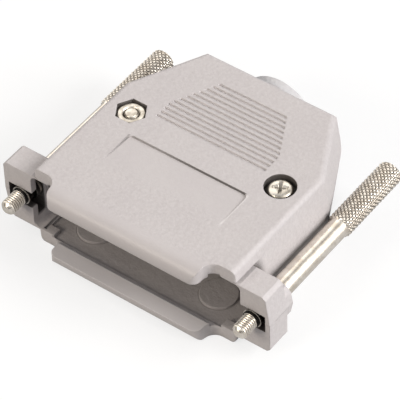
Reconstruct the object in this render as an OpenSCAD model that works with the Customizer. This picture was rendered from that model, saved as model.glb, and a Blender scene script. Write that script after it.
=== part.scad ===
// Two-piece cable hood for a 25-way miniature rectangular connector.
// Millimetres, +Z up. X runs across the connector, +Y points towards the cable.
// The origin is on the bottom resting face, midway between the two case screws.
// Both shell halves are one moulding: the lower half is the upper one turned
// half a turn about the cable axis.

/* [Hood] */
// Distance between the two thumbscrews
screw_pitch = 47.04; // [46.4:0.02:47.6]
// Gap between the hood's side and a thumbscrew's grip
grip_gap = 0.27; // [0.2:0.01:0.9]
// Thickness of the closed hood
hood_t = 17.0; // [16.4:0.1:18]
// Depth from the connector seat to the rear wall
hood_d = 39.3; // [38.5:0.1:45]
// Distance from the connector seat to the case screws
seat_to_screws = 19.6; // [19.2:0.1:20.4]
// Width of the rear wall between its two slanted corners
rear_w = 27.6; // [26.6:0.1:31]
// Depth of the slanted rear corners
slant_d = 14.1; // [11:0.1:14.6]
// Thickness of the outer walls
wall = 1.8; // [1.6:0.1:2]
// Lean of the side and rear walls, in degrees
wall_lean = 6.5; // [2:0.5:7]
// Rounding of the long outer edges
edge_r = 1.0; // [0.5:0.1:1.4]

/* [Front] */
// Width of the two rolled front lips
lip_w = 30.6; // [27:0.1:31.4]
// Reach of the lips in front of the connector seat
lip_reach = 4.0; // [3.4:0.1:4.4]
// Gap between the upper and the lower lip
lip_gap = 11.2; // [10.8:0.1:11.6]
// Radius of the roll along each lip
roll_r = 2.5; // [1.8:0.1:2.6]
// Rounding between a lip and the seat beside it
notch_r = 2.2; // [1.5:0.1:2.4]
// Width of the connector opening between the ears
window_w = 42.4; // [41.8:0.1:42.8]
// Height of the connector opening between the ears
window_h = 11.8; // [11.4:0.1:11.9]
// Depth of the wide part of the opening
window_d = 4.0; // [3.4:0.1:4.4]
// Width of the deep floor behind the lips
floor_w = 34.4; // [32:0.1:35]
// Height of the connector flange that the lips hold
flange_h = 12.6; // [12.5:0.1:12.8]
// Thickness of that flange
flange_t = 1.0; // [0.8:0.1:1.2]

/* [Ears] */
// Height of the two ears
ear_h = 12.2; // [12.1:0.1:13]
// Depth of the ears
ear_d = 4.8; // [4.6:0.1:5.4]
// Material outside each thumbscrew axis
ear_side = 3.4; // [3.3:0.1:3.7]
// Lean of the outer side of the ear on the screw-head side
ear_lean = 0.9; // [0:0.1:1]
// Thickness of the ear's front wall
ear_front = 1.2; // [1:0.1:1.3]
// Height of the slot for the thumbscrew thread
slot_h = 3.6; // [3.2:0.1:3.7]
// Thickness of the wall outside that slot
slot_side = 0.9; // [0.7:0.1:1.1]
// Reach of the guide boss behind each ear
boss_reach = 1.6; // [1.2:0.1:2]
// Height of that boss
boss_h = 6.6; // [6:0.1:7]

/* [Surface] */
// Number of grip grooves
groove_n = 12; // [8:1:12]
// Distance from groove to groove
groove_pitch = 1.07; // [0.9:0.01:1.07]
// Width of one groove
groove_w = 0.5; // [0.3:0.05:0.6]
// Depth of one groove
groove_depth = 0.3; // [0.15:0.05:0.4]
// Width of the grip field at its front
grip_w = 22.2; // [20:0.1:23]
// Width of the grip field at its rear
grip_rear_w = 13.3; // [12:0.1:16]
// Length of the grip field's straight sides
grip_side_l = 4.3; // [3:0.1:6]
// Distance from the case screws to the grip field
grip_from_screws = 1.1; // [0.8:0.1:1.6]
// Width of the label recess
label_w = 24.2; // [20:0.1:25]
// Length of the label recess
label_l = 7.6; // [6:0.1:10]
// Depth of the label recess at its rear edge
label_depth = 0.35; // [0.2:0.05:0.5]
// Distance from the label recess to the case screws
label_from_screws = 4.45; // [4:0.05:5]

/* [Case screws] */
// Distance between the two case screws
case_pitch = 30.3; // [29.6:0.1:30.6]
// Shank diameter of a case screw
case_d = 2.5; // [2.2:0.1:2.6]
// Head diameter of a case screw
head_d = 4.4; // [4:0.1:4.6]
// Height of a case screw's head
head_h = 1.7; // [1.5:0.1:2]
// Width of a nut across its flats
nut_af = 4.9; // [4.5:0.1:5]
// Thickness of a nut
nut_h = 2.0; // [1.6:0.1:2.2]
// Radius of the posts that carry the case screws
post_r = 3.7; // [3.5:0.1:4]

/* [Thumbscrews] */
// Thread diameter
thread_d = 2.84; // [2.8:0.01:3]
// Reach of the thread in front of the connector seat at rest
thread_reach = 4.1; // [3.6:0.1:5]
// Diameter of the neck behind the thread
neck_d = 2.4; // [2.2:0.1:2.6]
// Diameter of the groove for the retaining ring
ring_groove_d = 1.8; // [1.6:0.1:2]
// Diameter of the smooth shank
shank_d = 3.7; // [3.5:0.1:3.8]
// Diameter of the knurled grip
knurl_d = 4.5; // [4.2:0.1:4.8]
// Length of the knurled grip
knurl_l = 15.4; // [12:0.1:16]
// Number of ribs round the knurled grip
knurl_n = 12; // [8:1:14]
// Distance between the rings of the knurled grip
knurl_pitch = 1.2; // [1:0.1:2]
// Depth of the knurl
knurl_depth = 0.3; // [0.15:0.05:0.3]
// Overall length
thumb_l = 43.6; // [43:0.1:46]
// Thickness of the retaining ring
ring_t = 0.8; // [0.6:0.1:0.8]

/* [Cable exit] */
// Outer diameter of the rear collar
collar_d = 14; // [12.8:0.1:14.4]
// Reach of the collar behind the rear wall
collar_reach = 1.6; // [1.2:0.1:3]
// Diameter of the hole for the cable
cable_hole = 10.6; // [9:0.1:10.8]
// Inner radius of the cable clamp's arches
clamp_r = 4.6; // [4:0.1:4.7]
// Distance from the rear wall to the cable clamp
clamp_from_rear = 7.6; // [7:0.1:9]
// Width of the clamp straps
clamp_w = 5; // [4:0.1:5.4]
// Thickness of the clamp straps
clamp_t = 1.0; // [0.8:0.1:1.1]
// Distance from the cable to a clamp screw
lug_x = 8.2; // [7.8:0.1:8.6]
// Diameter of a clamp screw
clamp_d = 2.2; // [2:0.1:2.4]
// Head diameter of a clamp screw
clamp_head_d = 4; // [3.6:0.1:4.2]
// Head height of a clamp screw
clamp_head_h = 1.5; // [1.3:0.1:1.6]
// Width of a clamp nut across its flats
clamp_nut_af = 4; // [3.8:0.1:4.2]
// Thickness of a clamp nut
clamp_nut_h = 1.6; // [1.2:0.1:1.7]

/* [Hidden] */
$fn = 48;
eps = 0.02;

plastic = [0.80, 0.78, 0.78];
nickel = [0.78, 0.77, 0.74];
zinc = [0.72, 0.72, 0.70];
steel = [0.60, 0.61, 0.63];

// Places in the hood: the parting plane is z = 0 inside the modules below.
half_t = hood_t / 2;
body_w = screw_pitch - knurl_d - 2 * grip_gap;
seat_y = -seat_to_screws;
rear_y = seat_y + hood_d;
lip_y = seat_y - lip_reach;
slant_y = rear_y - slant_d;
ceiling = half_t - wall;
slant_angle = atan2((body_w - rear_w) / 2, slant_d);

// Fits: a gap on the radius unless the name says otherwise.
turn_gap = 0.08;
screw_gap = 0.15;
head_gap = 0.57;
nut_gap = 0.05;
thread_gap = 0.05;
ring_gap = 0.1;
tongue_gap = 0.1;
flange_gap = 0.05;

// Ears and thumbscrews
ear_x = screw_pitch / 2;
ear_out = ear_x + ear_side;
boss_y = seat_y + ear_d + boss_reach;
pocket_d = ear_d - 1.5;
pocket_side = slot_side + 0.4;
ring_d = 2 * (ear_side - pocket_side - ring_gap);
tip_y = seat_y - thread_reach;
ring_front_y = seat_y + ear_front + 0.6;
shoulder_y = ring_front_y + ring_t;

// Case screws and their pockets
case_x = case_pitch / 2;
recess_r = head_d / 2 + head_gap;
seat_depth = head_h + 0.2;
nut_depth = nut_h + 0.5;

// Cable clamp
clamp_y = rear_y - clamp_from_rear;
lug_z = 0.9;

// 2-D: the cusp between an arc and the two edges it joins, the second one leaning.
// The arc stands a hair proud of the edges, so that it crosses them cleanly.
module corner_cut(r, lean = 0) {
    half = (90 - lean) / 2;
    out = r + eps;
    difference() {
        polygon([[0, 0], [0, out], out / cos(half) * [cos(half + lean), sin(half + lean)],
                 out * [cos(lean), sin(lean)]]);
        circle(r + 0.003);
    }
}

// 2-D: a plate from the origin whose upper corners are rounded and whose ends may lean in.
module topped(w, h, r_near, r_far, lean_near = 0, lean_far = 0) {
    in_near = r_near / cos(lean_near) + (h - r_near) * tan(lean_near);
    in_far = r_far / cos(lean_far) + (h - r_far) * tan(lean_far);
    difference() {
        polygon([[0, 0], [w, 0], [w - h * tan(lean_far), h], [h * tan(lean_near), h]]);
        translate([in_near, h - r_near]) mirror([1, 0]) corner_cut(r_near, lean_near);
        translate([w - in_far, h - r_far]) corner_cut(r_far, lean_far);
    }
}

// 2-D plan of the hood body with its front lip and the notch on either side.
module body_plan() {
    corner_r = 1.6;
    offset(r = -notch_r)
        offset(delta = notch_r)
            offset(r = corner_r)
                offset(delta = -corner_r)
                    polygon([[-lip_w / 2, lip_y], [lip_w / 2, lip_y],
                             [lip_w / 2, seat_y], [body_w / 2, seat_y],
                             [body_w / 2, slant_y], [rear_w / 2, rear_y],
                             [-rear_w / 2, rear_y], [-body_w / 2, slant_y],
                             [-body_w / 2, seat_y], [-lip_w / 2, seat_y]]);
}

// 2-D plan of the inside, one wall in from the outline.
module inner_plan() {
    x = body_w / 2 - wall;
    side_cut = wall * tan(slant_angle / 2);
    rear_x = rear_w / 2 - wall * tan(45 - slant_angle / 2);
    polygon([[-x, seat_y + wall], [x, seat_y + wall],
             [x, slant_y - side_cut], [rear_x, rear_y - wall],
             [-rear_x, rear_y - wall], [-x, slant_y - side_cut]]);
}

// Leaning wall with its rounded upper edge at one slanted rear corner.
module slant_profile() {
    long = hood_d * 3;
    slant_r = edge_r + 0.15;
    translate([body_w / 2, slant_y, 0])
        rotate([90, 0, slant_angle])
            translate([-body_w * 2, 0, -long / 2])
                linear_extrude(long)
                    topped(body_w * 2, half_t, slant_r, slant_r, 0, wall_lean);
}

// Outside of one half: plan, front roll, leaning walls and rounded edges.
module outer_form() {
    depth = rear_y - lip_y;
    intersection() {
        linear_extrude(half_t) body_plan();
        translate([-body_w, lip_y, 0])
            rotate([90, 0, 90])
                linear_extrude(body_w * 2)
                    topped(depth, half_t, roll_r, edge_r, 0, wall_lean);
        translate([-body_w / 2, rear_y + 1, 0])
            rotate([90, 0, 0])
                linear_extrude(depth + 2)
                    topped(body_w, half_t, edge_r, edge_r, wall_lean, wall_lean);
        slant_profile();
        mirror([1, 0, 0]) slant_profile();
    }
}

// Half of one ear, with a bevelled top corner and the boss behind it. The outer
// side leans in towards the top by the given amount.
module ear_form(lean) {
    bevel = 0.6;
    top = ear_h / 2;
    inner_x = body_w / 2 - wall;
    translate([0, seat_y + ear_d, 0])
        rotate([90, 0, 0])
            linear_extrude(ear_d)
                polygon([[inner_x, 0], [ear_out, 0],
                         [ear_out - lean * (1 - bevel / top), top - bevel],
                         [ear_out - lean - bevel, top], [inner_x, top]]);
    translate([0, boss_y, 0])
        rotate([90, 0, 0])
            linear_extrude(boss_reach + 1)
                polygon([[inner_x, 0], [ear_out, 0], [ear_out - 0.4, boss_h / 2 - 1],
                         [ear_out - 1.4, boss_h / 2], [inner_x, boss_h / 2]]);
}

// Space that the connector, its flange and the thumbscrew ring need.
module front_opening() {
    // straight way in between the lips
    translate([-window_w / 2, lip_y - 1, -1])
        cube([window_w, lip_reach + 1 + eps, lip_gap / 2 + 1]);
    // wide part between the ears, with rounded corners
    translate([-window_w / 2, seat_y + window_d, 0])
        rotate([90, 0, 0])
            linear_extrude(window_d + 2 * eps) topped(window_w, window_h / 2, 1.2, 1.2);
    translate([-window_w / 2, seat_y - eps, -1]) cube([window_w, window_d + eps, 2]);
    // deep floor behind the lips
    translate([-floor_w / 2, seat_y + flange_gap, -1]) cube([floor_w, wall * 3, ceiling + 1]);
    // groove behind the lip for the flange
    translate([-lip_w / 2 - notch_r, seat_y - flange_t, -1])
        cube([lip_w + 2 * notch_r, flange_t + flange_gap, flange_h / 2 + 1]);
    // narrow groove in the ledge at either end of the deep floor
    for (side = [-1, 1])
        translate([side * (floor_w / 2 + 2.15) - 0.25, seat_y + 0.5, 0])
            cube([0.5, window_d, window_h / 2 + 0.4]);
}

// Room in one ear for the ring, and the slot for the thread in its front wall.
module ear_pocket() {
    lid = 1.7;
    from_x = window_w / 2 - 1;
    translate([from_x, seat_y + ear_front, -1])
        cube([ear_out - pocket_side - from_x, pocket_d - ear_front, ear_h / 2 - lid + 1]);
    translate([from_x, seat_y - 1, -1])
        cube([ear_out - slot_side - from_x, ear_front + 2, slot_h / 2 + 1]);
}

// Round guide for the thumbscrew's shank through the rear of one ear.
module shank_hole() {
    translate([ear_x, boss_y + 1, 0])
        rotate([90, 0, 0])
            cylinder(d = shank_d + 2 * turn_gap, h = boss_y + 1 - seat_y - ear_front);
}

// 2-D outline of the field of grip grooves, which narrows towards the rear.
module grip_plan() {
    front = grip_from_screws;
    back = front + groove_n * groove_pitch;
    polygon([[-grip_w / 2, front], [grip_w / 2, front],
             [grip_w / 2, front + grip_side_l], [grip_rear_w / 2, back],
             [-grip_rear_w / 2, back], [-grip_w / 2, front + grip_side_l]]);
}

// Grip grooves across the top of one half.
module grip_grooves() {
    first = grip_from_screws + groove_pitch / 2;
    translate([0, 0, half_t - groove_depth])
        linear_extrude(groove_depth + 1)
            intersection() {
                grip_plan();
                for (i = [0 : groove_n - 1])
                    translate([-body_w / 2, first + i * groove_pitch - groove_w / 2])
                        square([body_w, groove_w]);
            }
}

// Bare label recess: deepest at its rear edge, running out towards the front.
module label_recess() {
    back = -label_from_screws;
    r = 1.2;
    slope = atan2(label_depth, label_l);
    intersection() {
        translate([0, 0, half_t - label_depth - 1])
            linear_extrude(label_depth + 2)
                difference() {
                    translate([-label_w / 2, back - label_l]) square([label_w, label_l]);
                    translate([label_w / 2 - r, back - r]) corner_cut(r);
                    translate([r - label_w / 2, back - r]) mirror([1, 0]) corner_cut(r);
                }
        translate([-label_w, back - label_l, half_t])
            rotate([-slope, 0, 0])
                cube([label_w * 2, label_l * 1.2, label_l]);
    }
}

// Posts that carry the case screws inside one half.
module screw_posts() {
    for (side = [-1, 1])
        translate([side * case_x, 0, 0]) cylinder(r = post_r, h = half_t - 1);
}

// Screw holes of one half: round head recess on the right, nut pocket on the left.
module screw_holes() {
    for (side = [-1, 1])
        translate([side * case_x, 0, -1])
            cylinder(d = case_d + 2 * screw_gap, h = half_t + 2);
    translate([case_x, 0, half_t - seat_depth]) cylinder(r = recess_r, h = seat_depth + 1);
    translate([-case_x, 0, half_t - nut_depth])
        cylinder(d = (nut_af + 2 * nut_gap) / cos(30), h = nut_depth + 1, $fn = 6);
}

// Cradle in one half that carries a clamp strap.
module clamp_cradle() {
    w = 2 * (clamp_r + clamp_t) + 0.8;
    side = 1.1;
    slot = clamp_w / 2 + 0.1;
    seat = clamp_r + clamp_t + 0.02;
    difference() {
        translate([-w / 2, clamp_y - slot - side, 4]) cube([w, 2 * (slot + side), half_t - 5]);
        translate([-w, clamp_y - slot, 0]) cube([2 * w, 2 * slot, seat]);
        translate([0, clamp_y + slot + side + 1, 0])
            rotate([90, 0, 0]) cylinder(d = cable_hole, h = 2 * (slot + side) + 2);
    }
}

// Half of the collar around the cable exit.
module half_collar() {
    intersection() {
        translate([0, rear_y + collar_reach, 0])
            rotate([90, 0, 0]) cylinder(d = collar_d, h = collar_reach + wall);
        translate([-collar_d, rear_y - wall, 0]) cube([2 * collar_d, 2 * collar_d, collar_d]);
    }
}

// Tongue along one side wall, which enters the other half's groove.
module side_tongue(gap) {
    t = 0.7 + 2 * gap;
    y0 = seat_y + ear_d + 3 - gap;
    translate([body_w / 2 - wall / 2 - t / 2, y0, -0.6 - gap])
        cube([t, slant_y - y0 - 2 + gap, 0.6 + gap + 0.3]);
}

// One half of the hood, z = 0 at the parting plane.
module half_shell() {
    pad_r = 3.3;
    difference() {
        union() {
            difference() {
                union() {
                    outer_form();
                    ear_form(ear_lean);
                    mirror([1, 0, 0]) ear_form(0);
                }
                translate([0, 0, -1]) linear_extrude(ceiling + 1) inner_plan();
            }
            half_collar();
            screw_posts();
            clamp_cradle();
            side_tongue(0);
            // round pads on the inside of the half, near the connector
            for (side = [-1, 1])
                translate([side * (floor_w / 2 - pad_r - 1.3), seat_y + pad_r + 2.5, ceiling - 0.4])
                    cylinder(r = pad_r, h = 1);
        }
        front_opening();
        ear_pocket();
        mirror([1, 0, 0]) ear_pocket();
        shank_hole();
        mirror([1, 0, 0]) shank_hole();
        screw_holes();
        grip_grooves();
        label_recess();
        mirror([1, 0, 0]) mirror([0, 0, 1]) side_tongue(tongue_gap);
        translate([0, rear_y + collar_reach + 1, 0])
            rotate([90, 0, 0]) cylinder(d = cable_hole, h = collar_reach + wall + 2);
    }
}

// The thumbscrew, revolved about its own axis, tip at z = 0 and grip end up.
module thumbscrew() {
    thread_l = thread_reach - 0.2;
    groove_front = ring_front_y - tip_y - thread_gap;
    neck = shoulder_y - tip_y;
    grip = thumb_l - knurl_l;
    rings = floor((knurl_l - 1) / knurl_pitch);
    ring_depth = knurl_depth - 0.06;
    slot_w = 0.8;
    difference() {
        rotate_extrude()
            polygon(concat(
                [[0, 0], [thread_d / 2 - 0.45, 0], [thread_d / 2, 0.5],
                 [thread_d / 2, thread_l], [neck_d / 2, thread_l],
                 [neck_d / 2, groove_front], [ring_groove_d / 2, groove_front],
                 [ring_groove_d / 2, neck], [shank_d / 2, neck],
                 [shank_d / 2, grip - 0.3], [knurl_d / 2 - 0.25, grip],
                 [knurl_d / 2, grip + 0.3]],
                [for (i = [1 : rings])
                    each [[knurl_d / 2 - ring_depth, grip + 0.3 + (i - 0.5) * knurl_pitch],
                          [knurl_d / 2, grip + 0.3 + i * knurl_pitch]]],
                [[knurl_d / 2, thumb_l - 0.4], [knurl_d / 2 - 0.4, thumb_l], [0, thumb_l]]));
        for (i = [0 : knurl_n - 1])
            rotate([0, 0, (i + 0.5) * 360 / knurl_n])
                translate([knurl_d / 2, 0, grip + 0.3])
                    linear_extrude(knurl_l)
                        rotate(45) square(knurl_depth * sqrt(2), center = true);
        translate([-knurl_d, -slot_w / 2, thumb_l - 1.1]) cube([2 * knurl_d, slot_w, 2]);
    }
}

// Open retaining ring, pushed sideways into the thumbscrew's groove.
module retaining_ring() {
    hole_d = ring_groove_d + 2 * thread_gap;
    difference() {
        cylinder(d = ring_d, h = ring_t);
        translate([0, 0, -1]) cylinder(d = hole_d, h = ring_t + 2);
        translate([-hole_d * 0.42, 0, -1]) cube([hole_d * 0.84, ring_d, ring_t + 2]);
    }
}

// Pan-head screw with a cross recess, underside of the head at z = 0.
module pan_screw(d, head, height, length) {
    arm = 0.55;
    reach = head * 0.29;
    difference() {
        rotate_extrude()
            polygon([[0, -length], [d / 2 - 0.25, -length], [d / 2, -length + 0.3],
                     [d / 2, 0], [head / 2, 0], [head / 2, height * 0.6],
                     [head / 2 - 0.12, height * 0.76], [head / 2 - 0.42, height * 0.91],
                     [head / 2 - 0.95, height], [0, height]]);
        for (turn = [0, 90])
            rotate([90, 0, turn])
                translate([0, 0, -arm / 2])
                    linear_extrude(arm)
                        polygon([[-reach, height + 1], [reach, height + 1], [reach, height],
                                 [0.25, height - 1.1], [-0.25, height - 1.1], [-reach, height]]);
    }
}

// Hexagonal nut, chamfered on its upper face, from z = 0 to its thickness.
module hex_nut(af, height, d) {
    corner = af / cos(30);
    difference() {
        intersection() {
            cylinder(d = corner, h = height, $fn = 6);
            rotate_extrude()
                polygon([[0, 0], [corner / 2 + 0.1, 0], [corner / 2 + 0.1, height - 0.45],
                         [af / 2 - 0.25, height], [0, height]]);
        }
        translate([0, 0, -1]) cylinder(d = d + 2 * thread_gap, h = height + 2);
    }
}

// Pressed strap: an arch over the cable between two drilled lugs.
module clamp_strap() {
    lug_end = lug_x + 2.6;
    translate([0, clamp_y + clamp_w / 2, 0])
        rotate([90, 0, 0])
            linear_extrude(clamp_w)
                difference() {
                    union() {
                        intersection() {
                            circle(clamp_r + clamp_t);
                            translate([-clamp_r * 2, lug_z]) square([clamp_r * 4, clamp_r * 2]);
                        }
                        translate([-lug_end, lug_z]) square([2 * lug_end, clamp_t]);
                    }
                    circle(clamp_r);
                }
}

// The strap with its two screw holes.
module drilled_strap() {
    difference() {
        clamp_strap();
        for (side = [-1, 1])
            translate([side * lug_x, clamp_y, 0]) cylinder(d = clamp_d + 2 * screw_gap, h = 4);
    }
}

// Turns a piece of the upper half into its place in the lower half.
module turned_over() {
    rotate([0, 180, 0]) children();
}

// Lifts a piece from the parting plane into its place above the resting face.
module placed() {
    translate([0, 0, half_t]) children();
}

// One case screw, head up on the right.
module case_screw() {
    under_head = half_t - seat_depth;
    translate([case_x, 0, under_head]) pan_screw(case_d, head_d, head_h, under_head + half_t - 0.4);
}

// One case nut, seen from the top on the left.
module case_nut() {
    translate([-case_x, 0, half_t - nut_depth]) hex_nut(nut_af, nut_h, case_d);
}

// One thumbscrew laid along the hood.
module laid_thumbscrew(side) {
    translate([side * ear_x, tip_y, 0]) rotate([-90, 0, 0]) rotate([0, 0, 20]) thumbscrew();
}

// Retaining ring on the thread, against the thumbscrew's shoulder.
module laid_ring(side) {
    translate([side * ear_x, ring_front_y, 0]) rotate([-90, 0, 0]) retaining_ring();
}

// Clamp screw through both straps, with its nut below.
module clamp_screw(side) {
    translate([side * lug_x, clamp_y, lug_z + clamp_t])
        pan_screw(clamp_d, clamp_head_d, clamp_head_h, 2 * (lug_z + clamp_t) + clamp_nut_h + 0.4);
}

module clamp_nut(side) {
    translate([side * lug_x, clamp_y, -lug_z - clamp_t])
        mirror([0, 0, 1]) hex_nut(clamp_nut_af, clamp_nut_h, clamp_d);
}

module shell_upper() {
    color(plastic) placed() half_shell();
}

module shell_lower() {
    color(plastic) placed() turned_over() half_shell();
}

module thumbscrew_left() {
    color(nickel) placed() laid_thumbscrew(-1);
}

module thumbscrew_right() {
    color(nickel) placed() laid_thumbscrew(1);
}

module retaining_ring_left() {
    color(steel) placed() laid_ring(-1);
}

module retaining_ring_right() {
    color(steel) placed() laid_ring(1);
}

module case_screw_left() {
    color(zinc) placed() turned_over() case_screw();
}

module case_screw_right() {
    color(zinc) placed() case_screw();
}

module case_nut_left() {
    color(zinc) placed() case_nut();
}

module case_nut_right() {
    color(zinc) placed() turned_over() case_nut();
}

module clamp_strap_upper() {
    color(zinc) placed() drilled_strap();
}

module clamp_strap_lower() {
    color(zinc) placed() turned_over() drilled_strap();
}

module clamp_screw_left() {
    color(zinc) placed() clamp_screw(-1);
}

module clamp_screw_right() {
    color(zinc) placed() clamp_screw(1);
}

module clamp_nut_left() {
    color(zinc) placed() clamp_nut(-1);
}

module clamp_nut_right() {
    color(zinc) placed() clamp_nut(1);
}

shell_upper();
shell_lower();
thumbscrew_left();
thumbscrew_right();
retaining_ring_left();
retaining_ring_right();
case_screw_left();
case_screw_right();
case_nut_left();
case_nut_right();
clamp_strap_upper();
clamp_strap_lower();
clamp_screw_left();
clamp_screw_right();
clamp_nut_left();
clamp_nut_right();
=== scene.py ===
import math

import bpy
import numpy as np
from mathutils import Matrix, Vector


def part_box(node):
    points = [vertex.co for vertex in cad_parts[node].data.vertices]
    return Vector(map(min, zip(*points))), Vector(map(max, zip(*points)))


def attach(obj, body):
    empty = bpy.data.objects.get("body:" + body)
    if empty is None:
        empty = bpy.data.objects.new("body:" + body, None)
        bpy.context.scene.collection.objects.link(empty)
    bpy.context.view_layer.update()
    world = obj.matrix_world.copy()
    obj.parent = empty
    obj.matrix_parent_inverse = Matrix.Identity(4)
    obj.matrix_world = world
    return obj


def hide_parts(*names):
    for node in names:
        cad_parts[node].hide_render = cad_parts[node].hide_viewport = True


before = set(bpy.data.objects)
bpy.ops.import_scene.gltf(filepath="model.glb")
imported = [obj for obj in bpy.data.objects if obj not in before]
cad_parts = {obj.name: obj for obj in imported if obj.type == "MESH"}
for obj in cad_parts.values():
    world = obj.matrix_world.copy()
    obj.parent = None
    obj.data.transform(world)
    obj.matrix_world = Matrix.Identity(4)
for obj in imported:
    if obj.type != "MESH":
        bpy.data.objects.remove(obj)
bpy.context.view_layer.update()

# Two-piece cable hood with two thumbscrews. Metres, +Z up, +Y towards the cable.
# The shell halves, rings, straps, clamp screws and clamp nuts are the CAD solids with
# finished materials. Detailed pieces replace the thumbscrews, case screws and case nuts.

scene = bpy.context.scene
MM = 0.001

# Lengths of the hood in mm. Sides are distances from the middle plane, in X.

TIP_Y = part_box("thumbscrew_left")[0].y / MM
SEAT_Y = TIP_Y + 4.1  # the connector's seat
COLLAR_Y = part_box("clamp_strap_upper")[1].y / MM + 5.1  # the collar at the cable exit
CASE_X = sum(corner.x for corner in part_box("case_screw_right")) / 2 / MM
THUMB_X = 23.52
HOOD_T = 17.0
HALF_T = HOOD_T / 2
LIP_SIDE = 15.3
WINDOW_SIDE = 21.2
LABEL_SIDE, LABEL_REAR = 12.1, -4.45
GRIP_SIDE, GRIP_FRONT, GRIP_REAR = 11.1, 1.1, 14.0
PAD_X, PAD_Y, PAD_R = 12.6, -13.8, 3.3

# Thumbscrews: fine thread with a rounded tip, neck with the ring's groove, smooth
# shank, diamond knurl, slotted end. Distances in mm from the tip, as in the CAD.

THREAD_R, THREAD_END = 1.42, 3.6
TIP_R, TIP_ROUND = 0.75, 0.75  # the tip's flat, and the length of its rounding
THREAD_PITCH, THREAD_DEPTH = 0.45, 0.22
CREST = 1.3  # how flat a thread's crest is, from 1 for a sharp one
NECK_R = 1.2
FLANGE_R, FLANGE_START, FLANGE_T = 1.74, 4.0, 0.2
GROOVE_R, GROOVE_START = 0.9, 5.85
SHANK_R, SHANK_START = 1.85, 6.7
KNURL_R, KNURL_START, KNURL_CHAMFER = 2.25, 28.2, 0.30
KNURL_STARTS, KNURL_PITCH, KNURL_DEPTH, KNURL_FLAT = 16, 0.86, 0.24, 1.8
END_ROUND, END_DROP = 0.45, 0.42  # the end's rounding, along and across
THUMB_L = 43.6
SLOT_W, SLOT_DEPTH = 0.8, 1.1
THUMB_SPIN = 20.0  # degrees round its axis

# Case screws and case nuts, in mm

HEAD_D, HEAD_H, HEAD_STRAIGHT = 4.4, 1.7, 0.6  # the last is the share below the dome
CASE_D, CASE_THREAD, CASE_CHAMFER = 2.5, 6.0, 0.35
CASE_SPIN = 28.0  # degrees round its axis
NUT_FLATS, NUT_BORE, NUT_CHAMFER, NUT_SINK = 4.9, 1.3, 0.45, 0.30
NUT_THREAD_DEPTH = 0.13


# Materials


class Nodes:
    """Wires the node tree of a material or of the world."""

    def __init__(self, owner):
        owner.use_nodes = True
        self.owner = owner
        self.tree = owner.node_tree
        self.tree.nodes.clear()

    def add(self, kind, inputs=(), **props):
        """A new node, whose inputs are set to values or linked to outputs."""
        node = self.tree.nodes.new(kind)
        for key, value in props.items():
            setattr(node, key, value)
        for key, value in dict(inputs).items():
            if isinstance(value, bpy.types.NodeSocket):
                self.tree.links.new(value, node.inputs[key])
            else:
                node.inputs[key].default_value = value
        return node

    def math(self, operation, *values, clamp=False):
        return self.add("ShaderNodeMath", enumerate(values), operation=operation,
                        use_clamp=clamp).outputs[0]

    def minus(self, a, b):
        return self.math("SUBTRACT", a, b)

    def product(self, first, *others):
        for other in others:
            first = self.math("MULTIPLY", first, other)
        return first

    def most(self, first, *others):
        for other in others:
            first = self.math("MAXIMUM", first, other)
        return first

    def away(self, a, b):
        """Distance from a point that is off by a one way and by b the other way."""
        return self.math("SQRT", self.math("ADD", self.product(a, a), self.product(b, b)))

    def smooth(self, value, start, end, low=0.0, high=1.0):
        """Low before start, high past end, and smooth between."""
        inputs = {"Value": value, "From Min": start, "From Max": end,
                  "To Min": low, "To Max": high}
        return self.add("ShaderNodeMapRange", inputs,
                        interpolation_type="SMOOTHSTEP").outputs["Result"]

    def below(self, value, start, end):
        """1 before start, 0 past end."""
        return self.smooth(value, start, end, 1.0, 0.0)

    def band(self, value, rise, fall):
        """0 before the rise, 1 between rise and fall, 0 past the fall."""
        return self.product(self.smooth(value, *rise), self.below(value, *fall))

    def mix(self, factor, a, b):
        inputs = {"Factor": factor, 6: a, 7: b}
        return self.add("ShaderNodeMix", inputs, data_type="RGBA").outputs[2]

    def paint(self, under, mask, strength, colour):
        """Lays a colour over what is under it, where the mask is 1."""
        return self.mix(self.product(mask, strength), under, colour)

    def noise(self, vector, scale, detail, roughness=0.5):
        inputs = {"Vector": vector, "Scale": scale, "Detail": detail, "Roughness": roughness}
        return self.add("ShaderNodeTexNoise", inputs).outputs["Fac"]

    def place(self):
        return self.add("ShaderNodeTexCoord").outputs["Object"]

    def normal(self):
        return self.add("ShaderNodeNewGeometry").outputs["Normal"]

    def split(self, vector):
        return self.add("ShaderNodeSeparateXYZ", {0: vector}).outputs

    def dot(self, a, b):
        return self.add("ShaderNodeVectorMath", {0: a, 1: b},
                        operation="DOT_PRODUCT").outputs["Value"]

    def openness(self, reach):
        """1 where nothing is near, 0 deep in a hole. The reach is in mm."""
        return self.add("ShaderNodeAmbientOcclusion", {"Distance": reach * MM},
                        samples=8).outputs["AO"]

    def bump(self, height, strength, distance, normal):
        inputs = {"Height": height, "Strength": strength, "Distance": distance,
                  "Normal": normal}
        return self.add("ShaderNodeBump", inputs).outputs[0]

    def round_edges(self, radius):
        return self.add("ShaderNodeBevel", {"Radius": radius}, samples=6).outputs[0]

    def edges(self, radius, full):
        """1 on edges and corners, 0 on flat faces. The radius is in mm."""
        turned_away = self.minus(1.0, self.dot(self.round_edges(radius * MM), self.normal()))
        return self.smooth(turned_away, 0.02, full)

    def surface(self, **inputs):
        named = {key.replace("_", " "): value for key, value in inputs.items()}
        shader = self.add("ShaderNodeBsdfPrincipled", named).outputs[0]
        self.add("ShaderNodeOutputMaterial", {0: shader})
        return self.owner


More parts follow.
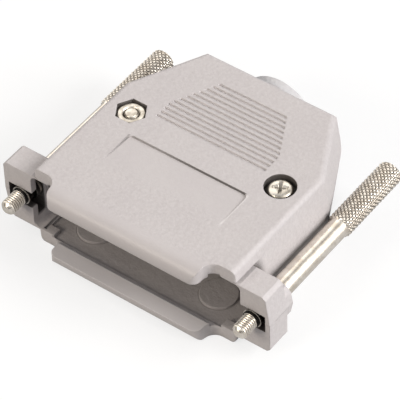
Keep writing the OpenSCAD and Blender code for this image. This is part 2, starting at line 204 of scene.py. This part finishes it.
class HoodPlastic(Nodes):
    """Light warm grey moulding: spark-eroded faces, smoother label recess and lips.

    Masks run from 0 to 1 and go by the place on the hood, in mm.
    """

    def __init__(self):
        super().__init__(bpy.data.materials.new("hood_plastic"))
        self.where = self.place()
        self.x, self.y, self.z = [self.product(c, 1 / MM) for c in self.split(self.where)]
        self.side = self.math("ABSOLUTE", self.x)
        self.high = self.math("ABSOLUTE", self.minus(self.z, HALF_T))
        self.outer_face = self.smooth(self.high, HALF_T - 0.5, HALF_T - 0.4)
        self.past_seat = self.minus(self.y, SEAT_Y)
        self.past_label = self.minus(self.y, LABEL_REAR)
        self.beside_label = self.minus(self.side, LABEL_SIDE)
        self.open = self.openness(3.5)

    def polish(self):
        """Where the mould is polished: the recess for a label and the two rolled lips."""
        label = self.product(self.below(self.beside_label, -0.4, 0.2),
                             self.band(self.past_label, (-8.55, -5.55), (-0.35, 0.05)))
        lip = self.below(self.past_seat, -1.6, -0.4)
        return self.most(self.product(label, 0.6), self.product(lip, 0.85))

    def label_sides(self):
        """The recess's sides, which aren't rounded."""
        return self.product(self.band(self.beside_label, (-0.4, -0.1), (0.4, 0.7)),
                            self.band(self.past_label, (-8.35, -7.95), (0.05, 0.35)))

    def painted_label_light(self, tone):
        """Painted light: a paler floor strip along the recess's +X side, where its side wall
        casts a shadow, and painted light on that shaded wall.
        """
        beside = self.minus(self.x, LABEL_SIDE)
        strip = self.product(self.band(beside, (-0.9, -0.2), (-0.05, 0.0)),
                             self.smooth(self.past_label, -7.35, -2.55, 0.15, 1.0),
                             self.below(self.past_label, -0.25, 0.05))
        wall = self.product(self.band(beside, (-0.2, -0.1), (0.1, 0.3)),
                            self.band(self.past_label, (-8.35, -7.55), (-0.35, -0.05)),
                            self.outer_face)
        # painted light on the floor strip beside the recess's wall and on the wall
        tone = self.paint(tone, strip, 0.12, (0.80, 0.765, 0.76, 1))
        return self.paint(tone, wall, 0.40, (0.93, 0.90, 0.89, 1))

    def label_shade(self):
        """The shade on the recess's rear step and on its -X side."""
        rear = self.product(self.band(self.past_label, (-0.20, -0.10), (0.02, 0.04)),
                            self.below(self.beside_label, -0.7, -0.1), self.outer_face,
                            self.smooth(self.x, -11.0, 4.0, 0.25, 0.85))
        left = self.product(self.band(self.minus(-LABEL_SIDE, self.x), (-0.3, -0.2), (0.0, 0.2)),
                            self.smooth(self.past_label, -7.55, -1.55, 0.0, 0.45),
                            self.below(self.past_label, -0.15, 0.05), self.outer_face)
        return self.most(rear, left)

    def grip_grooves(self):
        return self.product(self.band(self.y, (GRIP_FRONT - 0.2, GRIP_FRONT),
                                      (GRIP_REAR, GRIP_REAR + 0.2)),
                            self.below(self.side, GRIP_SIDE, GRIP_SIDE + 0.3),
                            self.band(self.high, (HALF_T - 0.6, HALF_T - 0.5),
                                      (HALF_T - 0.08, HALF_T - 0.02)))

    def painted_sill_light(self):
        """Painted light on the lower lip's upper face, which the upper lip shades from the
        lamps.
        """
        return self.product(self.smooth(self.split(self.normal())[2], 0.15, 0.45),
                            self.below(self.z, 3.2, 4.0),
                            self.below(self.past_seat, -0.6, -0.2))

    def tight_spots(self):
        """Painted shade in the screw pockets, the ear slots and the corners of the front."""
        pocket = self.below(self.away(self.minus(self.side, CASE_X), self.y), 3.0, 3.3)
        slot = self.product(self.smooth(self.side, WINDOW_SIDE, WINDOW_SIDE + 0.4),
                            self.below(self.past_seat, 4.0, 4.4))
        # painted shade deep in the screw pockets and the ear slots
        hollow_shade = self.product(self.most(pocket, slot), self.below(self.open, 0.55, 0.86))
        # painted shadow: the thin dark line round each mould pad on the inside
        from_pad = self.away(self.minus(self.side, PAD_X), self.minus(self.y, PAD_Y))
        line = self.product(self.band(from_pad, (PAD_R + 0.04, PAD_R + 0.08),
                                      (PAD_R + 0.20, PAD_R + 0.28)),
                            self.below(self.high, 6.8, 6.9), 0.6)
        # the unlit corners of the opening behind the ends of the upper lip
        corner = self.product(self.band(self.side, (LIP_SIDE - 0.3, LIP_SIDE + 0.3),
                                        (WINDOW_SIDE - 0.3, WINDOW_SIDE - 0.1)),
                              self.band(self.past_seat, (-0.1, 0.1), (6.0, 8.0)),
                              self.band(self.z, (8.0, 8.8), (14.5, 14.7)),
                              self.below(self.open, 0.70, 0.95), 0.95)
        return self.most(hollow_shade, line, corner)

    def cavity(self):
        """The inside walls, which little light reaches."""
        return self.product(self.below(self.side, 19.5, 19.9), self.below(self.high, 6.9, 7.1),
                            self.smooth(self.past_seat, -0.2, 1.2),
                            self.below(self.y, 0.0, 5.0))

    def hollows(self, grooves):
        """Painted shade in everything hollow behind the lips, other than the grip's grooves."""
        return self.product(self.below(self.open, 0.15, 0.62), self.minus(1.0, grooves),
                            self.smooth(self.past_seat, -1.2, -0.4))

    def finish(self):
        polished, sides, grooves = self.polish(), self.label_sides(), self.grip_grooves()
        grain = self.math("SUBTRACT", 1.0, polished, clamp=True)
        fine = self.noise(self.where, 2900.0, 3.0, 0.65)
        pits = self.noise(self.where, 1000.0, 2.0, 0.55)
        height = self.math("ADD", self.product(fine, 0.35), self.product(pits, 0.9))
        soft = self.round_edges(self.math("MULTIPLY_ADD", sides, -0.27 * MM, 0.28 * MM))
        bump = self.bump(height, grain, 0.13 * MM, soft)

        cloud = self.smooth(self.noise(self.where, 120.0, 3.0, 0.55), 0.3, 0.7)
        tone = self.mix(cloud, (0.582, 0.546, 0.548, 1), (0.606, 0.571, 0.570, 1))
        dots = self.smooth(self.noise(self.where, 1700.0, 2.0, 0.6), 0.40, 0.64)
        tone = self.paint(tone, self.product(dots, grain), 0.35, (0.690, 0.655, 0.655, 1))
        worn = self.product(self.edges(0.3, 0.3), self.minus(1.0, sides))
        tone = self.paint(tone, worn, 0.30, (0.720, 0.690, 0.680, 1))
        tone = self.painted_label_light(tone)
        # painted light in the grip's grooves, which lifts their own shade
        tone = self.paint(tone, grooves, 0.32, (0.93, 0.89, 0.88, 1))
        tone = self.mix(self.label_shade(), tone, (0.12, 0.11, 0.105, 1))
        # painted light on the lower lip's upper face
        tone = self.paint(tone, self.painted_sill_light(), 0.80, (0.82, 0.785, 0.79, 1))
        collar = self.smooth(self.y, COLLAR_Y, COLLAR_Y + 0.2)
        tone = self.paint(tone, collar, 0.5, (0.74, 0.75, 0.77, 1))
        # painted shade in the tight spots, the hollows and the inside walls
        dark = self.most(self.product(self.tight_spots(), 0.93),
                         self.product(self.hollows(grooves), 0.58),
                         self.product(self.cavity(), 0.31))
        tone = self.mix(dark, tone, (0.055, 0.047, 0.042, 1))
        rough = self.minus(self.math("MULTIPLY_ADD", cloud, 0.05, 0.50),
                           self.product(polished, 0.16))
        return self.surface(Base_Color=tone, Roughness=rough, Normal=bump,
                            Specular_IOR_Level=0.45)


def knurl_shade(n, where, in_shade):
    """Painted shade: less than elsewhere on the thumbscrews' thread, and more in the knurl's
    valleys.
    """
    x, y, z = [n.product(c, 1 / MM) for c in n.split(where)]
    from_tip = n.minus(y, TIP_Y)
    radius = n.away(n.minus(n.math("ABSOLUTE", x), THUMB_X), n.minus(z, HALF_T))
    valley = n.product(n.below(radius, KNURL_R - KNURL_DEPTH, KNURL_R - 0.13),
                       n.band(from_tip, (KNURL_START + 0.2, KNURL_START + 0.3),
                              (THUMB_L - 0.4, THUMB_L - 0.3)))
    return n.most(n.product(in_shade, n.smooth(from_tip, 5.2, SHANK_START, 0.50, 1.0)), valley)


def plated(name, low, high, roughness=0.30, grain=900.0, stretch=(1, 1, 1), strength=0.10,
           hollow_shade=0.0, reach=0.8, knurled=False):
    """Plating with fine drawing marks, stains, softened edges and painted shade in the grooves.

    Grain, stretch and strength are those of the marks. Reach is how far the painted shade
    spreads, in mm.
    """
    n = Nodes(bpy.data.materials.new(name))
    where = n.place()
    drawn = n.add("ShaderNodeMapping", {"Vector": where, "Scale": stretch}).outputs[0]
    marks = n.noise(drawn, grain, 3.0, 0.6)
    stain = n.smooth(n.noise(where, 640.0, 3.0, 0.6), 0.36, 0.66)
    tone = n.mix(stain, low, high)
    tone = n.paint(tone, n.edges(0.12, 0.35), 0.35, (0.95, 0.94, 0.92, 1))
    rough = n.math("MULTIPLY_ADD", marks, 0.16, roughness)
    if hollow_shade:
        # painted shade, near black, where the plating is hemmed in
        in_shade = n.below(n.openness(reach), 0.50, 0.94)
        if knurled:
            in_shade = knurl_shade(n, where, in_shade)
        tone = n.paint(tone, in_shade, hollow_shade, (0.035, 0.028, 0.022, 1))
        rough = n.math("MULTIPLY_ADD", in_shade, 0.25, rough)
    bump = n.bump(marks, strength, 0.03 * MM, n.round_edges(0.08 * MM))
    return n.surface(Base_Color=tone, Metallic=1.0, Roughness=rough, Normal=bump)


def dress(node, mat):
    """Gives a CAD node one material throughout."""
    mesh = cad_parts[node].data
    if not mesh.materials:
        mesh.materials.append(mat)
    for i in range(len(mesh.materials)):
        mesh.materials[i] = mat


plastic = HoodPlastic().finish()
nickel = plated("thumbscrew_nickel", (0.70, 0.635, 0.555, 1), (0.86, 0.81, 0.74, 1),
                roughness=0.16, grain=1400.0, stretch=(1, 0.15, 1), strength=0.08,
                hollow_shade=0.92, knurled=True)
zinc = plated("fastener_zinc", (0.42, 0.385, 0.335, 1), (0.74, 0.70, 0.64, 1),
              roughness=0.24, hollow_shade=0.55, reach=0.5)
black = plated("neck_black", (0.012, 0.011, 0.010, 1), (0.03, 0.028, 0.026, 1))
steel = plated("ring_steel", (0.035, 0.032, 0.030, 1), (0.075, 0.07, 0.065, 1))
strap = plated("strap_steel", (0.55, 0.55, 0.54, 1), (0.70, 0.70, 0.69, 1),
               grain=700.0, stretch=(0.2, 1, 1))

for end in ("upper", "lower"):
    dress("shell_" + end, plastic)
    dress("clamp_strap_" + end, strap)
for side in ("left", "right"):
    dress("retaining_ring_" + side, steel)
    dress("clamp_screw_" + side, zinc)
    dress("clamp_nut_" + side, zinc)


# Mesh pieces, made in mm and laid into the frame


def new_piece(name, verts, faces, mat, sharp=35.0):
    mesh = bpy.data.meshes.new(name)
    mesh.from_pydata(verts, [], faces)
    mesh.update()
    mesh.polygons.foreach_set("use_smooth", [True] * len(mesh.polygons))
    mesh.set_sharp_from_angle(angle=math.radians(sharp))
    mesh.materials.append(mat)
    ob = bpy.data.objects.new(name, mesh)
    scene.collection.objects.link(ob)
    return ob


def ring(radius, height, around, centre=(0.0, 0.0), turn=1):
    """A ring of vertices, whose radius may change with the height and the angle."""
    verts = []
    for k in range(around):
        a = 2 * math.pi * k / around
        r = radius(height, a)
        verts.append((centre[0] + r * math.cos(a), centre[1] + turn * r * math.sin(a), height))
    return verts


def skin(rings, around, start=0, loop=False):
    """Faces from ring to ring, and in a loop from the last ring to the first too."""
    faces = []
    for i in range(rings if loop else rings - 1):
        low, top = start + i * around, start + (i + 1) % rings * around
        for k in range(around):
            m = (k + 1) % around
            faces.append((low + k, low + m, top + m, top + k))
    return faces


def in_order(stations):
    """The heights from low to high, each of them once."""
    return sorted(set(round(float(s), 4) for s in stations))


def turned(name, stations, radius, around, mat, sharp):
    """A closed solid along +Z with a ring at each station."""
    verts = [v for s in stations for v in ring(radius, s, around)]
    faces = skin(len(stations), around)
    for row, flip in ((0, True), (len(stations) - 1, False)):
        centre = len(verts)
        verts.append((0.0, 0.0, stations[row]))
        for k in range(around):
            a, b = row * around + k, row * around + (k + 1) % around
            faces.append((centre, b, a) if flip else (centre, a, b))
    return new_piece(name, verts, faces, mat, sharp)


def cut(piece, tool):
    """Takes the tool's shape out of the piece and removes the tool."""
    mod = piece.modifiers.new("cut", "BOOLEAN")
    mod.operation = "DIFFERENCE"
    mod.solver = "EXACT"
    mod.object = tool
    dg = bpy.context.evaluated_depsgraph_get()
    done = bpy.data.meshes.new_from_object(piece.evaluated_get(dg))
    piece.modifiers.clear()
    piece.data = done
    bpy.data.objects.remove(tool)


def lay(piece, matrix, body, *nodes, slot):
    """Moves the piece's own vertices into place and hangs it on its body."""
    piece.data.transform(matrix @ Matrix.Scale(MM, 4))
    piece.data.update()
    if nodes:
        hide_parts(*nodes)
    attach(piece, body)


def along_y(node, spin=0.0):
    """Lays what was made along +Z on the node's axis, from its front end backwards."""
    lo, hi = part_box(node)
    foot = ((lo.x + hi.x) / 2, lo.y, (lo.z + hi.z) / 2)
    return (Matrix.Translation(foot) @ Matrix.Rotation(math.radians(-90), 4, "X")
            @ Matrix.Rotation(math.radians(spin), 4, "Z"))


def along_z(node, face_up, spin=0.0):
    """Stands what was made along +Z on the node's axis, or hangs it face down."""
    lo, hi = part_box(node)
    foot = ((lo.x + hi.x) / 2, (lo.y + hi.y) / 2, lo.z if face_up else hi.z)
    flip = Matrix.Identity(4) if face_up else Matrix.Rotation(math.pi, 4, "Y")
    return Matrix.Translation(foot) @ flip @ Matrix.Rotation(math.radians(spin), 4, "Z")


def clamp(t):
    return min(max(t, 0.0), 1.0)


def saw(t):
    """0 in a groove's bottom, 1 on its crest, for any phase t."""
    t = t - math.floor(t)
    return 1.0 - abs(2.0 * t - 1.0)


def thread(s, a):
    """0 on a thread's crest, 1 in its groove."""
    return 1 - min(1.0, CREST * saw(s / THREAD_PITCH - a / (2 * math.pi)))


def block(name, size, centre):
    half = [s / 2 for s in size]
    verts = [tuple(c + sign * h for c, sign, h in zip(centre, signs, half))
             for signs in ((i, j, k) for i in (-1, 1) for j in (-1, 1) for k in (-1, 1))]
    faces = [(0, 1, 3, 2), (4, 6, 7, 5), (0, 4, 5, 1), (2, 3, 7, 6), (0, 2, 6, 4), (1, 5, 7, 3)]
    return new_piece(name, verts, faces, zinc)


# Thumbscrews and the black bushings on their necks


def thumb_radius(s, a, length):
    if s <= THREAD_END:
        rise = math.sin(min(1.0, s / TIP_ROUND) * math.pi / 2)
        tip = TIP_R + (THREAD_R - TIP_R) * rise
        return min(tip, THREAD_R - THREAD_DEPTH * thread(s, a))
    if FLANGE_START <= s <= FLANGE_START + FLANGE_T:
        return FLANGE_R
    if s < GROOVE_START:
        return NECK_R
    if s < SHANK_START:
        return GROOVE_R
    if s < KNURL_START - KNURL_CHAMFER / 2:
        return SHANK_R
    turn, rise = KNURL_STARTS * a / (2 * math.pi), s / KNURL_PITCH
    pyramid = min(1.0, KNURL_FLAT * min(saw(turn + rise), saw(turn - rise)))
    full = KNURL_R - KNURL_DEPTH * (1 - pyramid)
    chamfer = clamp((s - KNURL_START) / KNURL_CHAMFER)
    end = 1 - clamp((length - s) / END_ROUND)
    rounded = KNURL_R - END_DROP * (1 - math.sqrt(1 - end ** 2))
    return min(SHANK_R + (full - SHANK_R) * chamfer, rounded)


def thumbscrew(side):
    node = "thumbscrew_" + side
    lo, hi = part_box(node)
    length = (hi.y - lo.y) / MM
    knurl_start = KNURL_START - KNURL_CHAMFER / 2
    s = [*np.arange(0.0, THREAD_END - 0.02, THREAD_PITCH / 12), THREAD_END, 10.0, 16.0, 22.0]
    for step in (THREAD_END, FLANGE_START, FLANGE_START + FLANGE_T, GROOVE_START, SHANK_START):
        s += [step - 0.001, step + 0.001]
    s += [knurl_start - 0.01, *np.arange(knurl_start, length - 0.02, KNURL_PITCH / 8)]
    s += [length - 0.2, length - 0.1, length]
    piece = turned("thumb_" + side, in_order(s), lambda t, a: thumb_radius(t, a, length), 128,
                   nickel, 32.0)
    cut(piece, block("slot_tool", (8.0, SLOT_W, 2 * SLOT_DEPTH), (0, 0, length)))
    lay(piece, along_y(node, THUMB_SPIN), node, node, slot="thumbscrew_nickel")


def neck_seal(side):
    """Black bushing on the thumbscrew's neck, on both sides of its thin flange."""
    node = "thumbscrew_" + side
    front, rear = THREAD_END + 0.01, FLANGE_START + FLANGE_T + 0.02
    front_l, rear_l, steps = 0.39, 1.60, 8

    def radius(s, a):
        if s < FLANGE_START + 0.01:
            return 1.60 - 0.22 * (2 * abs(s - front - front_l / 2) / 0.40) ** 4
        return 1.58 - 0.15 * (2 * abs(s - rear - rear_l / 2) / 1.61) ** 6

    s = [front + front_l * k / steps for k in range(steps + 1)] + [FLANGE_START + 0.02]
    s += [rear + rear_l * k / steps for k in range(steps + 1)]
    piece = turned("neck_seal_" + side, s, radius, 64, black, 40.0)
    lay(piece, along_y(node), node, slot="ring_steel")


for side in ("left", "right"):
    thumbscrew(side)
    neck_seal(side)


# Round mould pads on the inside of both halves, near the connector


def pads():
    verts, faces = [], []
    around = 72
    rows = ((0.02, 1.70), (0.02, 2.14), (-0.06, 2.215), (-0.5, 2.22))  # past PAD_R, height
    for turn in (1, -1):
        for x in (-PAD_X, PAD_X):
            base = len(verts)
            for wider, height in rows:
                z = height if turn > 0 else HOOD_T - height
                verts += ring(lambda s, a: PAD_R + wider, z, around, (x, PAD_Y), turn)
            faces += skin(len(rows), around, base)
            faces.append(tuple(range(len(verts) - around, len(verts))))
            faces.append(tuple(reversed(range(base, base + around))))
    piece = new_piece("mould_pads", verts, faces, plastic, 30.0)
    lay(piece, Matrix.Identity(4), "hood", slot="hood_plastic")


pads()


# Case screws: domed head with a cross recess, threaded shank


def cross_tool(reach, arm, depth, z):
    """Tapered four-armed punch of a cross recess."""
    verts = []
    for level, r, w in ((z + 0.3, reach * 1.08, arm), (z - depth, reach * 0.22, arm * 0.62)):
        h = w / 2
        outline = [(r, -h), (r, h), (h, h), (h, r), (-h, r), (-h, h), (-r, h), (-r, -h),
                   (-h, -h), (-h, -r), (h, -r), (h, -h)]
        verts += [(x, y, level) for x, y in outline]
    k = len(verts) // 2
    faces = [tuple(range(k)), tuple(reversed(range(k, 2 * k)))]
    faces += [(i, k + i, k + (i + 1) % k, (i + 1) % k) for i in range(k)]
    return new_piece("cross_tool", verts, faces, zinc)


def case_screw(side, head_up):
    node = "case_screw_" + side
    lo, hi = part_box(node)
    length = (hi.z - lo.z) / MM
    under = length - HEAD_H

    def radius(s, a):
        if s < under:
            if s > CASE_THREAD:
                return CASE_D / 2
            tip = CASE_D / 2 - 0.28 * max(0.0, 1 - s / CASE_CHAMFER)
            return min(tip, CASE_D / 2 - THREAD_DEPTH * thread(s, a))
        dome = ((s - under) / HEAD_H - HEAD_STRAIGHT) / (1 - HEAD_STRAIGHT)
        if dome < 0:
            return HEAD_D / 2
        curve = math.sqrt(max(0.0, 1 - dome ** 2.2))
        return HEAD_D / 2 * (0.42 * curve + 0.58 * (1 - 0.12 * dome))

    s = [*np.arange(0.0, CASE_THREAD, THREAD_PITCH / 8), CASE_THREAD, under - 0.001, under]
    s += [under + HEAD_H * (HEAD_STRAIGHT + (1 - HEAD_STRAIGHT) * q)
          for q in (0.0, 0.1, 0.2, 0.32, 0.44, 0.56, 0.66, 0.75, 0.83, 0.9, 0.95, 0.98, 1.0)]
    piece = turned("pan_screw_" + side, in_order(s), radius, 72, zinc, 40.0)
    cut(piece, cross_tool(reach=1.55, arm=0.66, depth=1.30, z=length))
    lay(piece, along_z(node, head_up, CASE_SPIN), "hood", node, slot="fastener_zinc")


case_screw("right", True)
case_screw("left", False)


# Case nuts: hexagon with turned-down corners, countersunk threaded hole


def case_nut(side, face_up):
    node = "case_nut_" + side
    lo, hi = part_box(node)
    height = (hi.z - lo.z) / MM
    flats, around = NUT_FLATS / 2, 96
    corner = flats / math.cos(math.radians(30))

    def outer(s, a):
        turn = (math.degrees(a) + 30) % 60 - 30
        hexagon = flats / math.cos(math.radians(30 - abs(turn)))
        down = max(0.0, (s - height + NUT_CHAMFER) / NUT_CHAMFER) ** 1.3
        return min(hexagon, corner - 0.62 * down)

    def inner(s, a):
        sink = max(0.0, NUT_SINK - (height - s), NUT_SINK - s)
        return NUT_BORE + max(NUT_THREAD_DEPTH * thread(s, a), sink)

    rise = [0.0, 0.05, 0.8] + [height - NUT_CHAMFER * k / 5 for k in (5, 4, 3, 2, 1, 0)]
    fall = [height - height * k / 32 for k in range(33)]
    rings = [(outer, s) for s in rise] + [(inner, s) for s in fall]
    verts = [v for radius, s in rings for v in ring(radius, s, around)]
    faces = skin(len(rings), around, loop=True)
    piece = new_piece("hex_nut_" + side, verts, faces, zinc, 28.0)
    lay(piece, along_z(node, face_up), "hood", node, slot="fastener_zinc")


case_nut("left", True)
case_nut("right", False)


# Studio: pale floor that glows for the camera, soft lamps, panels for reflections


def floor(s=6.0):
    """A flat square that reaches s to each side."""
    mesh = bpy.data.meshes.new("floor")
    mesh.from_pydata([(-s, -s, 0), (s, -s, 0), (s, s, 0), (-s, s, 0)], [], [(0, 1, 2, 3)])
    ob = bpy.data.objects.new("floor", mesh)
    scene.collection.objects.link(ob)
    n = Nodes(bpy.data.materials.new("floor"))
    tone = n.mix(n.noise(n.place(), 60.0, 3.0), (0.30, 0.30, 0.30, 1), (0.32, 0.32, 0.32, 1))
    diffuse = n.add("ShaderNodeBsdfDiffuse", {"Color": tone})
    ray = n.add("ShaderNodeLightPath").outputs
    seen = n.math("MULTIPLY_ADD", ray["Is Camera Ray"], 0.72,
                  n.product(ray["Is Glossy Ray"], 0.36))
    glow = n.add("ShaderNodeEmission", {"Color": (1, 1, 1, 1), "Strength": seen})
    both = n.add("ShaderNodeAddShader", {0: diffuse.outputs[0], 1: glow.outputs[0]})
    n.add("ShaderNodeOutputMaterial", {0: both.outputs[0]})
    mesh.materials.append(n.owner)


def surroundings():
    """Pale for the camera, dim for dull faces, bands and panels for reflections."""
    scene.world = bpy.data.worlds.new("studio")
    n = Nodes(scene.world)
    ray = n.add("ShaderNodeLightPath").outputs
    toward = n.add("ShaderNodeTexCoord").outputs["Generated"]

    def background(colour, strength):
        inputs = {"Color": colour, "Strength": strength}
        return n.add("ShaderNodeBackground", inputs).outputs[0]

    def choose(mask, no, yes):
        return n.add("ShaderNodeMixShader", {0: mask, 1: no, 2: yes}).outputs[0]

    # soft bands: dark at the horizon, brightest halfway up, greyer overhead
    ramp = n.add("ShaderNodeValToRGB", {0: n.split(toward)["Z"]})
    ramp.color_ramp.interpolation = "EASE"
    stops = ramp.color_ramp.elements
    stops[0].position, stops[0].color = 0.0, (0.05, 0.045, 0.04, 1)
    stops[1].position, stops[1].color = 1.0, (0.75, 0.75, 0.76, 1)
    for position, tone in ((0.20, 0.16), (0.33, 0.80), (0.56, 1.0), (0.70, 0.42), (0.82, 0.36)):
        stops.new(position).color = (tone, tone * 0.985, tone * 0.96, 1)
    bands = ramp.outputs[0]
    # a pale wall on the left and behind, and a wide pale panel on the right
    for direction, start, full, colour in (
            ((-0.80, 0.55, 0.24), 0.35, 0.75, (1.7, 1.63, 1.53, 1)),
            ((0.88, 0.10, 0.46), 0.60, 0.85, (1.5, 1.44, 1.36, 1))):
        bands = n.mix(n.smooth(n.dot(toward, direction), start, full), bands, colour)
    lit = choose(ray["Is Glossy Ray"], background((1.0, 0.99, 1.0, 1), 0.42),
                 background(bands, 1.0))
    seen = n.most(ray["Is Camera Ray"], ray["Is Transmission Ray"])
    n.add("ShaderNodeOutputWorld", {0: choose(seen, lit, background((0.8, 0.8, 0.8, 1), 1.0))})


def soft_lamp(name, direction, distance, size, level, colour):
    """An area lamp that gives about this level on a face turned straight to it."""
    d = Vector(direction).normalized()
    data = bpy.data.lights.new(name, "AREA")
    data.shape = "DISK"
    data.size = size
    data.color = colour
    data.energy = level * (math.pi * distance) ** 2
    ob = bpy.data.objects.new(name, data)
    ob.location = d * distance
    ob.rotation_euler = d.to_track_quat("Z", "Y").to_euler()
    scene.collection.objects.link(ob)


floor()
surroundings()
soft_lamp("key", (0.82, 0.25, 0.50), distance=1.6, size=0.9, level=0.88,
          colour=(1.0, 0.985, 0.97))
soft_lamp("fill", (-0.5, -0.2, 0.85), distance=1.8, size=1.2, level=0.02,
          colour=(0.97, 0.98, 1.0))
soft_lamp("front", (-0.30, -0.85, 0.55), distance=1.6, size=0.7, level=0.34,
          colour=(1.0, 0.90, 0.76))


# Camera: the photograph's viewing angle and framing, from the fit to its points.
# Angles in degrees, the target in mm, the distance in metres.

AZIMUTH, ELEVATION, ROLL = 37.874, 46.45, -2.085
TARGET_X, TARGET_PAST_SEAT = 1.14, 16.0
DISTANCE = 0.493788
PICTURE_PX, FOCAL_PX, SHIFT_PX = 400, 2992.6, (1.36, -0.23)
SENSOR = 36.0


def camera():
    az, el, roll = map(math.radians, (AZIMUTH, ELEVATION, ROLL))
    target = Vector((TARGET_X, SEAT_Y + TARGET_PAST_SEAT, HALF_T)) * MM
    back = Vector((math.sin(az) * math.cos(el), -math.cos(az) * math.cos(el), math.sin(el)))
    right = Vector((math.cos(az), math.sin(az), 0))
    up = back.cross(right)
    r = right * math.cos(roll) + up * math.sin(roll)
    u = up * math.cos(roll) - right * math.sin(roll)
    data = bpy.data.cameras.new("camera")
    data.sensor_width = SENSOR
    data.lens = FOCAL_PX / PICTURE_PX * SENSOR
    data.shift_x, data.shift_y = (shift / PICTURE_PX for shift in SHIFT_PX)
    data.clip_start = 0.01
    data.clip_end = 50.0
    ob = bpy.data.objects.new("camera", data)
    turn = Matrix((r, u, back)).transposed().to_4x4()
    ob.matrix_world = Matrix.Translation(target + back * DISTANCE) @ turn
    scene.collection.objects.link(ob)
    scene.camera = ob


camera()
scene.view_settings.view_transform = "Standard"
